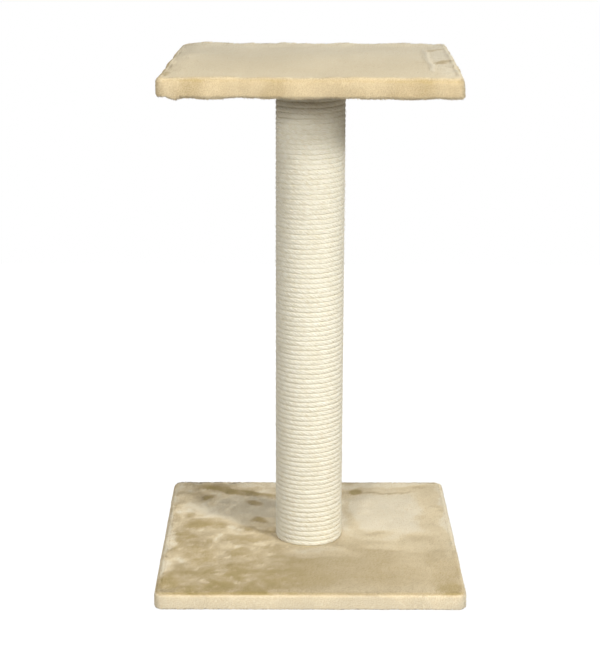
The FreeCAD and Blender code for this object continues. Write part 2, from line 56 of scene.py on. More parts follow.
def add(tree, kind, settings=None, inputs=None):
    """Adds a node, sets it up and fills its inputs with values or with links from other nodes."""
    node = tree.nodes.new(kind)
    for name, value in (settings or {}).items():
        if name == "stops":
            ramp = node.color_ramp.elements
            while len(ramp) < len(value):
                ramp.new(0.5)
            for element, (place, code) in zip(ramp, value):
                element.position, element.color = place, linear(code)
        else:
            setattr(node, name, value)
    for key, value in (inputs or {}).items():
        if isinstance(value, bpy.types.NodeSocket):
            tree.links.new(value, node.inputs[key])
        else:
            node.inputs[key].default_value = value
    return node


def new_material(name, **constants):
    """A material, its nodes and its shader, whose even values are set on the shader itself."""
    material = bpy.data.materials.new(name)
    material.use_nodes = True
    shader = material.node_tree.nodes["Principled BSDF"]
    for key, value in constants.items():
        shader.inputs[key.replace("_", " ")].default_value = value
    return material, material.node_tree, shader


def dress(material, *nodes):
    """Gives CAD nodes that keep their shape a better material."""
    for name in nodes:
        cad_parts[name].data.materials.clear()
        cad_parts[name].data.materials.append(material)


# Chipboard: flakes of wood about 2 mm wide in finer dust, unsealed, so the eye sees a matt mottle
# from tan to straw with a faint grit.
FLAKE = 0.0022
DUST = 0.0011
GRIT_DEPTH = 0.0004
chipboard, tree, shader = new_material("raw_chipboard", Roughness=0.78)
place = add(tree, "ShaderNodeTexCoord").outputs["Object"]
flakes = add(tree, "ShaderNodeTexVoronoi", inputs={"Vector": place, "Scale": 1 / FLAKE})
dust = add(tree, "ShaderNodeTexNoise", inputs={"Vector": place, "Scale": 1 / DUST, "Detail": 3.0})
flake_tone = add(tree, "ShaderNodeSeparateColor", inputs={"Color": flakes.outputs["Color"]})
mixed = add(
    tree,
    "ShaderNodeMath",
    {"operation": "MULTIPLY_ADD"},
    {0: dust.outputs["Fac"], 1: 0.5, 2: flake_tone.outputs["Red"]},
)
wood = add(
    tree,
    "ShaderNodeValToRGB",
    {"stops": ((0.1, "#A07C4F"), (0.5, "#BC9868"), (0.8, "#CCAC7D"), (1.0, "#DBC197"))},
    {"Fac": mixed.outputs[0]},
)
grit = add(
    tree,
    "ShaderNodeBump",
    inputs={"Height": flakes.outputs["Distance"], "Distance": GRIT_DEPTH, "Strength": 0.5},
)
tree.links.new(wood.outputs["Color"], shader.inputs["Base Color"])
tree.links.new(grit.outputs["Normal"], shader.inputs["Normal"])
dress(chipboard, "base_board", "platform_board")


# The base cover: one piece of short beige plush, pulled over the board's top and edges, folded
# under and stapled. Its pile is brushed this way and that, so it shows light and dark patches.

# The backing is a net of rings, from the middle of the top over the edges to the end of the hem,
# and back along the board.
PER_SIDE = 120
PER_CORNER = 12
AROUND = 4 * (PER_SIDE + PER_CORNER)
TOP_RINGS = 64
EDGE_RINGS = 19
HEM_RINGS = 8
LEAST_RING = 0.004
CORNER = 0.008
HEM = 0.038
BACKING = 0.0021
ROUNDING = 0.004
FOLD = 0.0018
INSIDE = 0.0002


def outline(half, radius):
    """Points round a rounded square from its front left, and the way outwards at each."""
    flat = half - radius
    points, outwards = [], []
    for quarter in range(4):
        facing = (quarter - 1) * math.pi / 2
        out = np.array([math.cos(facing), math.sin(facing)])
        across = np.array([-out[1], out[0]])
        for i in range(PER_SIDE):
            points.append(out * half + across * flat * (2 * i / PER_SIDE - 1))
            outwards.append(out)
        for i in range(PER_CORNER):
            swing = facing + i / PER_CORNER * math.pi / 2
            way = np.array([math.cos(swing), math.sin(swing)])
            points.append((out + across) * flat + way * radius)
            outwards.append(way)
    return np.array(points), np.array(outwards)


def rumple(points, size, seed):
    """Smooth noise from about -1 to 1 at each point, with features of a size in metres."""
    shift = Vector((seed * 7.31, seed * 3.17, seed * 1.93))
    return np.array([noise.noise(Vector(p) / size + shift) for p in points])


def ease(low, high, value):
    """0 at low, 1 at high and a smooth rise between them."""
    share = np.clip((value - low) / (high - low), 0, 1)
    return share * share * (3 - 2 * share)


def wrapped_backing(half, low, high, hole):
    """Backing cloth round a board from low to high: points, the way out at each, zones and faces.
    The zones are 1 for the top, 2 for the edges, 3 for the hem and 0 for the side on the board."""
    edge, edge_way = outline(half + BACKING - ROUNDING, CORNER + BACKING - ROUNDING)
    turn = np.arctan2(edge[:, 1], edge[:, 0])
    disc = half * np.column_stack([np.cos(turn), np.sin(turn)])
    least = max(hole / half, LEAST_RING)
    rings = []
    for i in range(TOP_RINGS):
        share = least + (1 - least) * i / TOP_RINGS
        square = ease(0.2, 0.6, share)
        rings.append((share * (disc + (edge - disc) * square), high + BACKING, edge_way * 0, 1, 1))
    for swing in np.linspace(0, math.pi, EDGE_RINGS):
        upper = swing < math.pi / 2
        bend = ROUNDING if upper else FOLD
        middle = high + BACKING - bend if upper else low - BACKING + bend
        wide = BACKING - bend * (1 - math.sin(swing))
        up = math.cos(swing)
        points, way = outline(half + wide, CORNER + wide)
        rings.append((points, middle + bend * up, way * math.sin(swing), up, 2))
    for i in range(1, HEM_RINGS + 1):
        reach = half + BACKING - FOLD - (HEM + BACKING - FOLD) * i / HEM_RINGS
        points, way = outline(reach, CORNER)
        rings.append((points, low - BACKING, way * 0, -1, 3))
    for reach, z in (
        (half - HEM, low - INSIDE),
        (half + INSIDE, low - INSIDE),
        (half + INSIDE, high + INSIDE),
    ):
        points, way = outline(reach, CORNER)
        rings.append((points, z, way * 0, 0, 0))
    rings.append((disc * least, high + INSIDE, edge_way * 0, 0, 0))

    points = np.concatenate([np.column_stack([p, np.full(AROUND, z)]) for p, z, *_ in rings])
    ways = np.concatenate([np.column_stack([w, np.full(AROUND, u)]) for _, _, w, u, _ in rings])
    zones = np.repeat([zone for *_, zone in rings], AROUND)
    faces = []
    for i in range(len(rings) if hole else len(rings) - 1):
        above, below = i * AROUND, (i + 1) % len(rings) * AROUND
        for j in range(AROUND):
            k = (j + 1) % AROUND
            faces.append((above + j, below + j, below + k, above + k))
    if not hole:
        for ring, z in ((0, high + BACKING), (len(rings) - 1, high + INSIDE)):
            start, centre = ring * AROUND, len(points)
            faces += [(centre, start + j, start + (j + 1) % AROUND) for j in range(AROUND)]
            points = np.vstack([points, (0, 0, z)])
            ways = np.vstack([ways, (0, 0, 0 if ring else 1)])
            zones = np.append(zones, 0 if ring else 1)
    return points, ways, zones, faces


def set_values(mesh, name, values):
    """Keeps a number or a vector for each point of a mesh, under a name."""
    kind, field = ("FLOAT_VECTOR", "vector") if np.ndim(values) == 2 else ("FLOAT", "value")
    layer = mesh.attributes.new(name, kind, "POINT")
    layer.data.foreach_set(field, np.asarray(values, np.float32).ravel())


def get_vectors(values, field):
    """One vector for each of a mesh's points or values, as rows."""
    found = np.empty(len(values) * 3, np.float32)
    values.foreach_get(field, found)
    return found.reshape(-1, 3)


def new_piece(name, vertices, edges, faces):
    """A piece with a plain mesh, in the scene."""
    mesh = bpy.data.meshes.new(name)
    mesh.from_pydata([tuple(v) for v in vertices], edges, faces)
    piece = bpy.data.objects.new(name, mesh)
    bpy.context.scene.collection.objects.link(piece)
    return piece


def new_tree(name, *inputs):
    """An empty Geometry Nodes tree with inputs of (label, kind, value), and the sockets at its ends."""
    tree = bpy.data.node_groups.new(name, "GeometryNodeTree")
    tree.interface.new_socket("Geometry", in_out="INPUT", socket_type="NodeSocketGeometry")
    tree.interface.new_socket("Geometry", in_out="OUTPUT", socket_type="NodeSocketGeometry")
    for label, kind, value in inputs:
        socket = tree.interface.new_socket(label, in_out="INPUT", socket_type=f"NodeSocket{kind}")
        if value is not None:
            socket.default_value = value
    return tree, add(tree, "NodeGroupInput").outputs, add(tree, "NodeGroupOutput").inputs


def end_tree(tree, geometry, material, made):
    """Ends a tree: its copies made real, shaded smooth and given their material."""
    real = add(tree, "GeometryNodeRealizeInstances", inputs={"Geometry": geometry})
    soft = add(tree, "GeometryNodeSetShadeSmooth", inputs={"Geometry": real.outputs["Geometry"]})
    finished = add(
        tree,
        "GeometryNodeSetMaterial",
        inputs={"Geometry": soft.outputs["Geometry"], "Material": material},
    )
    tree.links.new(finished.outputs["Geometry"], made["Geometry"])


def grown(piece, tree, name, **values):
    """What a tree makes of a piece, as a plain mesh of its own. Values go by the inputs' labels."""
    modifier = piece.modifiers.new(tree.name, "NODES")
    modifier.node_group = tree
    for item in tree.interface.items_tree:
        label = item.name.replace(" ", "_").lower()
        if item.in_out == "INPUT" and label in values:
            modifier[item.identifier] = values[label]
    bpy.context.view_layer.update()
    view = bpy.context.evaluated_depsgraph_get()
    mesh = bpy.data.meshes.new_from_object(piece.evaluated_get(view))
    mesh.name = name
    piece.modifiers.remove(modifier)
    result = bpy.data.objects.new(name, mesh)
    bpy.context.scene.collection.objects.link(result)
    return result


# A tuft of pile is a four-faced spike. It stands along its point's lay, which is the way that the
# pile was brushed, and keeps the tone there, its own height and the cloth's way out. Real fibres
# are far below 0.1 mm thick, so each spike, 2 mm wide at its root, is drawn that coarse to show.
pile_tree, given, made = new_tree(
    "plush_pile",
    ("Tufts per square metre", "Float", 560000.0),
    ("Spacing", "Float", 0.001),
    ("Width", "Float", 0.002),
    ("Length", "Float", 0.0042),
    ("Straying", "Float", 0.16),
    ("Mottle", "Float", 0.07),
    ("Zone", "Int", 1),
    ("Shares", "Int", 1),
    ("Share", "Int", 0),
    ("Seed", "Int", 1),
    ("Material", "Material", None),
)
zone = add(pile_tree, "GeometryNodeInputNamedAttribute", {"data_type": "FLOAT"}, {"Name": "zone"})
in_zone = add(
    pile_tree,
    "FunctionNodeCompare",
    {"data_type": "FLOAT", "operation": "EQUAL"},
    {0: zone.outputs["Attribute"], 1: given["Zone"], "Epsilon": 0.5},
)
roots = add(
    pile_tree,
    "GeometryNodeDistributePointsOnFaces",
    {"distribute_method": "POISSON"},
    {
        "Mesh": given["Geometry"],
        "Selection": in_zone.outputs["Result"],
        "Distance Min": given["Spacing"],
        "Density Max": given["Tufts per square metre"],
        "Seed": given["Seed"],
    },
)
skinned = add(
    pile_tree,
    "GeometryNodeStoreNamedAttribute",
    {"data_type": "FLOAT_VECTOR", "domain": "POINT"},
    {"Geometry": roots.outputs["Points"], "Name": "skin", "Value": roots.outputs["Normal"]},
)
number = add(pile_tree, "GeometryNodeInputIndex").outputs["Index"]
dealt = add(
    pile_tree, "ShaderNodeMath", {"operation": "MODULO"}, {0: number, 1: given["Shares"]}
)
own = add(
    pile_tree,
    "FunctionNodeCompare",
    {"data_type": "FLOAT", "operation": "EQUAL"},
    {0: dealt.outputs[0], 1: given["Share"], "Epsilon": 0.5},
)
kept = add(
    pile_tree,
    "GeometryNodeSeparateGeometry",
    {"domain": "POINT"},
    {"Geometry": skinned.outputs["Geometry"], "Selection": own.outputs["Result"]},
)
tone = add(pile_tree, "GeometryNodeInputNamedAttribute", {"data_type": "FLOAT"}, {"Name": "tone"})
chance = add(
    pile_tree,
    "FunctionNodeRandomValue",
    {"data_type": "FLOAT"},
    {2: -1.0, 3: 1.0, "Seed": given["Seed"]},
)
mottled = add(
    pile_tree,
    "ShaderNodeMath",
    {"operation": "MULTIPLY_ADD"},
    {0: chance.outputs[1], 1: given["Mottle"], 2: tone.outputs["Attribute"]},
)
toned = add(
    pile_tree,
    "GeometryNodeStoreNamedAttribute",
    {"data_type": "FLOAT", "domain": "POINT"},
    {"Geometry": kept.outputs["Selection"], "Name": "tone", "Value": mottled.outputs[0]},
)
spike = add(
    pile_tree,
    "GeometryNodeMeshCone",
    {"fill_type": "NGON"},
    {"Vertices": 3, "Radius Top": 0.0, "Radius Bottom": 0.5, "Depth": 1.0},
)
spot = add(pile_tree, "GeometryNodeInputPosition").outputs["Position"]
spike_height = add(pile_tree, "ShaderNodeSeparateXYZ", inputs={0: spot})
tuft = add(
    pile_tree,
    "GeometryNodeStoreNamedAttribute",
    {"data_type": "FLOAT", "domain": "POINT"},
    {"Geometry": spike.outputs["Mesh"], "Name": "tip", "Value": spike_height.outputs["Z"]},
)
lay = add(
    pile_tree, "GeometryNodeInputNamedAttribute", {"data_type": "FLOAT_VECTOR"}, {"Name": "lay"}
)
stray = add(
    pile_tree,
    "FunctionNodeRandomValue",
    {"data_type": "FLOAT_VECTOR"},
    {0: (-1.0, -1.0, -1.0), 1: (1.0, 1.0, 1.0), "Seed": given["Seed"]},
)
strayed = add(
    pile_tree,
    "ShaderNodeVectorMath",
    {"operation": "SCALE"},
    {0: stray.outputs["Value"], "Scale": given["Straying"]},
)
leaning = add(
    pile_tree,
    "ShaderNodeVectorMath",
    {"operation": "ADD"},
    {0: lay.outputs["Attribute"], 1: strayed.outputs["Vector"]},
)
standing = add(
    pile_tree,
    "FunctionNodeAlignRotationToVector",
    {"axis": "Z"},
    {"Vector": leaning.outputs["Vector"]},
)
vary = add(
    pile_tree,
    "FunctionNodeRandomValue",
    {"data_type": "FLOAT"},
    {2: 0.75, 3: 1.1, "Seed": given["Seed"]},
)
tall = add(
    pile_tree, "ShaderNodeMath", {"operation": "MULTIPLY"}, {0: vary.outputs[1], 1: given["Length"]}
)
girth = add(
    pile_tree,
    "ShaderNodeCombineXYZ",
    inputs={"X": given["Width"], "Y": given["Width"], "Z": tall.outputs[0]},
)
tufts = add(
    pile_tree,
    "GeometryNodeInstanceOnPoints",
    inputs={
        "Points": toned.outputs["Geometry"],
        "Instance": tuft.outputs["Geometry"],
        "Rotation": standing.outputs["Rotation"],
        "Scale": girth.outputs["Vector"],
    },
)
end_tree(pile_tree, tufts.outputs["Instances"], given["Material"], made)

# Polyester plush, knitted, sheared and brushed: fine fibres, matt, with a faint bloom where light
# grazes them. The tone goes from olive, where the pile stands against the eye, to cream, where it
# lies smooth, and each tuft is painted darker at its root, a painted shade for the depth of the pile.
plush, tree, shader = new_material(
    "beige_polyester_plush",
    Roughness=0.9,
    Sheen_Weight=0.12,
    Sheen_Roughness=0.5,
    Sheen_Tint=linear("#FFF4DC"),
    Specular_IOR_Level=0.1,
)
tone = add(tree, "ShaderNodeAttribute", {"attribute_name": "tone"})
tip = add(tree, "ShaderNodeAttribute", {"attribute_name": "tip"})
brushed = add(
    tree,
    "ShaderNodeValToRGB",
    {
        "stops": (
            (0.0, "#BBA873"),
            (0.25, "#CCB88A"),
            (0.5, "#DFCDA8"),
            (0.75, "#F4E4C1"),
            (1.0, "#FFF4DA"),
        )
    },
    {"Fac": tone.outputs["Fac"]},
)
# Painted shade: each tuft darkens towards its root, where the pile is shaded deep down.
painted_root_shade = add(
    tree,
    "ShaderNodeValToRGB",
    {"stops": ((0.0, "#E2DACA"), (0.6, "#FFFFFF"))},
    {"Fac": tip.outputs["Fac"]},
)
plush_colour = add(
    tree,
    "ShaderNodeMix",
    {"data_type": "RGBA", "blend_type": "MULTIPLY"},
    {"Factor": 1.0, 6: brushed.outputs["Color"], 7: painted_root_shade.outputs["Color"]},
)
tree.links.new(plush_colour.outputs[2], shader.inputs["Base Color"])

# How much of its own shape a tuft adds to the cloth's shading, its least height above the floor, and
# how many tufts stand on a square metre of each zone.
TUFT_SHADING = 0.3
FLOOR_GAP = 0.0003
TOP_DENSITY = 560000.0
EDGE_DENSITY = 640000.0
HEM_DENSITY = 320000.0


def plush_cover(name, body, points, faces, zones, tone, lay, seed, pressed=None):
    """A cover from its backing: the cloth, its pile in four pieces, and what they stand for.
    What stands on it holds the pile down to a level, within a radius, where these are given."""
    cloth = new_piece(f"{name}_backing", points, [], faces)
    shape = bmesh.new()
    shape.from_mesh(cloth.data)
    bmesh.ops.recalc_face_normals(shape, faces=shape.faces)
    shape.to_mesh(cloth.data)
    shape.free()
    cloth.data.polygons.foreach_set("use_smooth", [True] * len(cloth.data.polygons))
    cloth.data.materials.append(plush)
    set_values(cloth.data, "zone", zones)
    set_values(cloth.data, "tone", tone)
    set_values(cloth.data, "tip", np.full(len(points), 0.5))
    set_values(cloth.data, "lay", lay)
    pile = []
    for part, zone_number, shares, share, density in (
        ("top_1", 1, 2, 0, TOP_DENSITY),
        ("top_2", 1, 2, 1, TOP_DENSITY),
        ("edges", 2, 1, 0, EDGE_DENSITY),
        ("hem", 3, 1, 0, HEM_DENSITY),
    ):
        tufts = grown(
            cloth,
            pile_tree,
            f"{name}_pile_{part}",
            tufts_per_square_metre=density,
            zone=zone_number,
            shares=shares,
            share=share,
            seed=seed,
            material=plush,
        )
        spots = get_vectors(tufts.data.vertices, "co")
        spots[:, 2] = np.maximum(spots[:, 2], FLOOR_GAP)
        if pressed:
            radius, level = pressed
            under = np.hypot(spots[:, 0], spots[:, 1]) < radius
            spots[under, 2] = np.minimum(spots[under, 2], level)
        tufts.data.vertices.foreach_set("co", spots.ravel())
        skin = get_vectors(tufts.data.attributes["skin"].data, "vector")
        own = get_vectors(tufts.data.vertex_normals, "vector")
        shaded = skin + TUFT_SHADING * own
        shaded /= np.linalg.norm(shaded, axis=1)[:, None]
        tufts.data.normals_split_custom_set_from_vertices(shaded)
        pile.append(tufts)
    for piece in (cloth, *pile):
        for spare in ("zone", "lay", "skin"):
            if spare in piece.data.attributes:
                piece.data.attributes.remove(piece.data.attributes[spare])
        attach(piece, body)
    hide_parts(f"{body}_plush_cover")


RAGGED_EDGES = ((0.016, 0.05), (0.006, 0.017), (0.003, 0.007))
STROKE_FULL = 0.62
STROKE_GONE = 1.28


def brushed_tone(points, strokes, ground, ragged, seed):
    """The tone at each point: a ground tone, and ragged strokes of brushed pile or painted light and
    shade laid over it in turn.
    """
    warped = points.copy()
    for axis in (0, 1):
        for reach, size in RAGGED_EDGES:
            warped[:, axis] += ragged * reach * rumple(points, size, seed + axis + size * 100)
    tone = np.full(len(points), ground, float)
    for x, y, along, over, turn, shade in strokes:
        cosine, sine = math.cos(math.radians(turn)), math.sin(math.radians(turn))
        dx, dy = warped[:, 0] * 1000 - x, warped[:, 1] * 1000 - y
        far = np.hypot((dx * cosine + dy * sine) / along, (dy * cosine - dx * sine) / over)
        tone += (shade - tone) * ease(STROKE_GONE, STROKE_FULL, far)
    return tone


# The brush strokes seen on the base, the broad ones first: each one's middle in mm, its reach along
# and across, its turn in degrees and its tone. A few of them are painted light and shade rather than
# brushed pile, as marked below.
BASE_STROKES = (
    (110, 70, 95, 100, 0, 1.0),
    (186, 60, 26, 120, 0, 0.72),
    # Painted light, lifting the shade that the post casts to its left and back.
    (-100, 90, 75, 70, 0, 0.92),
    # Painted light, lifting the post's shade close behind its left side.
    (-64, 115, 26, 60, 0, 1.0),
    (-110, -165, 120, 50, 0, 0.27),
    (-165, -60, 40, 60, 0, 0.5),
    (-80, -60, 60, 50, 20, 0.45),
    (-5, -120, 62, 62, 0, 0.35),
    (85, -110, 80, 80, 0, 0.44),
    (160, -80, 36, 70, 0, 0.56),
    (180, -140, 22, 75, 4, 0.42),
    (186, -184, 20, 22, 0, 0.26),
    (-150, 36, 34, 20, 0, 0.32),
    (-178, -20, 16, 26, 0, 0.34),
    (-145, -22, 30, 13, 8, 0.6),
    (-105, -78, 26, 7, 15, 0.5),
    # A dark streak that is partly painted shadow, carrying the post's shadow further out at its left.
    (-80, 12, 34, 9, -30, 0.36),
    (-80, 120, 12, 10, 0, 0.3),
    (-75, 50, 15, 11, 0, 0.24),
    (-142, 136, 8, 9, 0, 0.26),
    (-60, -34, 44, 8, 12, 0.7),
    (-114, 163, 74, 11, -12, 0.2),
    (70, 168, 17, 14, 0, 0.1),
    (118, 158, 40, 4, -6, 0.36),
    (172, 170, 12, 4, 0, 0.4),
    (188, 95, 14, 4, 10, 0.5),
    (192, 82, 12, 3, 10, 0.52),
    (-36, -110, 14, 9, 0, 0.4),
    (5, -110, 9, 7, 0, 0.38),
    (-116, -139, 10, 4, 25, 0.55),
    (-176, -90, 16, 5, 20, 0.62),
    (22, -72, 55, 16, 0, 0.62),
    # Painted light, lifting the shade at the front of the post's foot.
    (14, -58, 46, 12, 0, 0.85),
    (125, -48, 60, 13, 0, 0.72),
    (91, -1, 46, 14, -5, 0.76),
    (91, -1, 20, 6, -5, 0.55),
    # Painted shadow of the post, to its right.
    (60, 60, 9, 70, 10, 0.78),
    (-186, 186, 13, 13, 0, 0.6),
    (174, -126, 9, 40, 4, 0.46),
    (184, -90, 10, 40, 0, 0.5),
    (-120, -106, 50, 18, 0, 0.34),
    (-168, 176, 16, 12, 0, 0.45),
    (-178, 68, 16, 14, 0, 0.46),
    (-170, -42, 14, 14, 0, 0.4),
    (-40, 192, 165, 8, 0, 0.92),
    (112, 189, 88, 11, 0, 0.98),
    (-200, 20, 8, 188, 0, 1.0),
    (200, 70, 7, 130, 0, 0.95),
)

BASE_HALF = 0.2
BASE_TONE = 0.62
BASE_EDGE_TONE = 0.92
HEM_TONE = 0.7
BOLT_HOLE_RADIUS = 0.0045
EDGE_BAND = 0.03
EDGE_SWELL = 0.0008
PRESSED_RADIUS = 0.0478
PRESSED_RISE = 0.0008
PILE_STAND = 0.55
PILE_LEAN = 0.85
EDGE_FALL = 1.2
base_low, base_high = (corner.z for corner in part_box("base_board"))
points, ways, zones, faces = wrapped_backing(BASE_HALF, base_low, base_high, BOLT_HOLE_RADIUS)

# The cover swells a little towards its edges and is uneven all over, but it is flat underneath. Where
# the post presses the pile down, the backing is drawn higher, so that it still meets the rope.
shown = zones > 0
far_out = np.maximum(abs(points[:, 0]), abs(points[:, 1]))
swell = EDGE_SWELL * ease(BASE_HALF - EDGE_BAND, BASE_HALF, far_out)
swell += 0.0005 * rumple(points, 0.045, 3)
swell += 0.0003 * rumple(points, 0.018, 5)
swell *= np.where(ways[:, 2] < -0.5, 0.2, 1.0)
points[shown] += (ways * swell[:, None])[shown]
under_post = ease(0.054, 0.046, np.hypot(points[:, 0], points[:, 1])) * (zones == 1)
points[:, 2] += PRESSED_RISE * under_post

# The left of the base is ruffled all over, but for a smooth patch behind the post. Fine streaks run
# across the whole top, and the front is painted darker where it begins to turn down: a painted shade
# against the highlight that the lamps put on that rounding.
tone = brushed_tone(points, BASE_STROKES, BASE_TONE, 1.0, 11)
smooth_patch = np.hypot((points[:, 0] + 0.09) / 0.06, (points[:, 1] - 0.09) / 0.07)
ruffled = ease(0.02, -0.08, points[:, 0]) * ease(0.6, 1.1, smooth_patch)
tone += ruffled * (0.18 * np.tanh(2.5 * rumple(points, 0.02, 21)) + 0.16 * rumple(points, 0.009, 23))
tone += ruffled * 0.35 * ease(0.3, 0.6, rumple(points, 0.011, 24))
tone += 0.05 * rumple(points, 0.03, 27) + 0.05 * rumple(points * np.array([0.25, 1.0, 1.0]), 0.006, 29)
# Painted shade: the front of the top is darkened where it turns down, against the lamps' highlight
# there.
tone -= 0.2 * ease(0.0, 0.3, -ways[:, 1])
tone[zones == 3] = HEM_TONE

# The edges are combed down and pale, and painted paler towards the floor, a painted light against the
# shade that falls on their lower part.
edge_share = ease(0.55, 0.97, np.hypot(ways[:, 0], ways[:, 1]))
edge_share[(zones == 2) & (ways[:, 2] < 0)] = 1.0
low_painted_light = ease(base_high, base_low, points[:, 2])
edge_tone = BASE_EDGE_TONE + 0.14 * low_painted_light + 0.04 * rumple(points, 0.04, 25)
tone += (edge_tone - tone) * edge_share

# The nap runs to the right with a slow swing, down over the edges and flat along the hem.
swing = 0.35 + 0.4 * rumple(points, 0.07, 31) + 0.4 * rumple(points, 0.02, 33)
nap = np.column_stack([np.cos(swing), np.sin(swing), -EDGE_FALL * edge_share])
lay = ways * PILE_STAND + nap * PILE_LEAN
lay[zones == 3] = (nap * 0.9 - np.array([0, 0, 0.1]))[zones == 3]
lay /= np.linalg.norm(lay, axis=1)[:, None]
post_foot = (PRESSED_RADIUS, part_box("base_plush_cover")[1].z)
plush_cover(
    "base_plush", "base", points, faces, zones, tone, lay, 4, post_foot
)


# The staples and nails: bright drawn wire, driven by a tool through the hems, the tube and the ends
# of the rope.

# Drawn wire: bare bright steel, so the eye sees a clear shine that fine scuffs break up.
SCUFF = 0.0012
wire, tree, shader = new_material("bright_drawn_wire", Metallic=1.0)
place = add(tree, "ShaderNodeTexCoord").outputs["Object"]
scuffs = add(tree, "ShaderNodeTexNoise", inputs={"Vector": place, "Scale": 1 / SCUFF, "Detail": 3.0})
drawn = add(
    tree,
    "ShaderNodeValToRGB",
    {"stops": ((0.3, "#A6A8AA"), (0.55, "#BABCBE"), (0.8, "#C9CACB"))},
    {"Fac": scuffs.outputs["Fac"]},
)
dullness = add(
    tree,
    "ShaderNodeMapRange",
    inputs={"Value": scuffs.outputs["Fac"], "To Min": 0.24, "To Max": 0.42},
)
tree.links.new(drawn.outputs["Color"], shader.inputs["Base Color"])
tree.links.new(dullness.outputs["Result"], shader.inputs["Roughness"])
dress(
    wire,
    "base_cover_staples",
    "platform_cover_staples",
    "rope_end_staples",
    "bottom_plug_nails",
    "top_plug_nails",
)


# The bolt, washer, stud and tee nuts: zinc-plated steel, pressed and rolled. Only the bolt's head
# and its washer show, sunk into the base board from below.

# Zinc plate: a cool grey shine, cloudy and a little yellow where the plating has bloomed.
BLOOM = 0.006
zinc, tree, shader = new_material("zinc_plated_steel", Metallic=1.0)
place = add(tree, "ShaderNodeTexCoord").outputs["Object"]
bloom = add(tree, "ShaderNodeTexNoise", inputs={"Vector": place, "Scale": 1 / BLOOM, "Detail": 2.0})
plating = add(
    tree,
    "ShaderNodeValToRGB",
    {"stops": ((0.3, "#B4B6B4"), (0.55, "#C9CBCB"), (0.8, "#D3D0C4"))},
    {"Fac": bloom.outputs["Fac"]},
)
dullness = add(
    tree,
    "ShaderNodeMapRange",
    inputs={"Value": bloom.outputs["Fac"], "To Min": 0.28, "To Max": 0.46},
)
tree.links.new(plating.outputs["Color"], shader.inputs["Base Color"])
tree.links.new(dullness.outputs["Result"], shader.inputs["Roughness"])
dress(
    zinc,
    "base_bolt",
    "base_washer",
    "post_bottom_tee_nut",
    "post_top_tee_nut",
    "platform_stud",
    "platform_tee_nut",
)


# The post's tube and plugs: brown kraft paper wound in a spiral and glued, with a turned plug of
# raw pine nailed into each end. The rope and the boards hide both.

# Kraft paper: unbleached pulp, dull brown with soft clouds.
PULP = 0.004
kraft, tree, shader = new_material("kraft_paper_tube", Roughness=0.8)
place = add(tree, "ShaderNodeTexCoord").outputs["Object"]
pulp = add(tree, "ShaderNodeTexNoise", inputs={"Vector": place, "Scale": 1 / PULP, "Detail": 4.0})
paper = add(
    tree,
    "ShaderNodeValToRGB",
    {"stops": ((0.3, "#94754F"), (0.55, "#A98A62"), (0.8, "#B89B73"))},
    {"Fac": pulp.outputs["Fac"]},
)
tree.links.new(paper.outputs["Color"], shader.inputs["Base Color"])
dress(kraft, "post_tube")

# Raw pine: pale straw wood with darker rings.
RING = 0.012
pine, tree, shader = new_material("raw_pine", Roughness=0.6)
place = add(tree, "ShaderNodeTexCoord").outputs["Object"]
grain = add(
    tree,
    "ShaderNodeTexWave",
    {"wave_type": "RINGS", "rings_direction": "X"},
    {"Vector": place, "Scale": 1 / RING, "Distortion": 2.0, "Detail": 2.0},
)
timber = add(
    tree,
    "ShaderNodeValToRGB",
    {"stops": ((0.1, "#B98F5C"), (0.6, "#D8B783"), (1.0, "#E3C698"))},
    {"Fac": grain.outputs["Fac"]},
)
tree.links.new(timber.outputs["Color"], shader.inputs["Base Color"])
dress(pine, "post_bottom_plug", "post_top_plug")


# The sisal rope: three strands of leaf fibre twisted together, wound round the tube turn against
# turn and stapled at both ends. Its turns press together, and stray fibres stand off them.

ROPE_TURNS = 96
LENGTHS = 4
EASING_TURNS = 8
STEP_SHARE = 0.25
STEPS_PER_TURN = 132
ROPE_START = math.radians(135)
ROPE_THICK = 0.006
WINDING_RADIUS = 0.0432
WANDER_OUT = 0.0002
WANDER_UP = 0.00045
WOBBLE_UP = 0.0006
rope_low, rope_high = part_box("sisal_rope_1")[0].z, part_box("sisal_rope_4")[1].z
rope_pitch = (rope_high - rope_low - ROPE_THICK) / ROPE_TURNS


def climb(turn):
    """The height after so many turns, counted in pitches: flat end turns that ease into a helix."""
    if turn > ROPE_TURNS / 2:
        return ROPE_TURNS - climb(ROPE_TURNS - turn)
    whole = math.floor(turn)
    part = turn - whole
    easing = min(1.0, whole / EASING_TURNS)
    step = ease(1 - STEP_SHARE, 1, part)
    return whole + easing * part + (1 - easing) * step


def winding_path(first, last):
    """The rope's middle line from one turn to another, with the small wander of hand winding."""
    path = []
    for i in range((last - first) * STEPS_PER_TURN + 1):
        turn = first + i / STEPS_PER_TURN
        angle = ROPE_START + 2 * math.pi * turn
        wander = Vector((turn * 2.3, 0.5, 0.2))
        out = WINDING_RADIUS + WANDER_OUT * noise.noise(wander)
        up = rope_low + ROPE_THICK / 2 + rope_pitch * climb(turn)
        up += WANDER_UP * noise.noise(wander * 1.7 + Vector((0, 9.1, 0)))
        up += WOBBLE_UP * noise.noise(wander * 8.3 + Vector((0, 4.7, 0)))
        path.append((out * math.cos(angle), out * math.sin(angle), up))
    return path


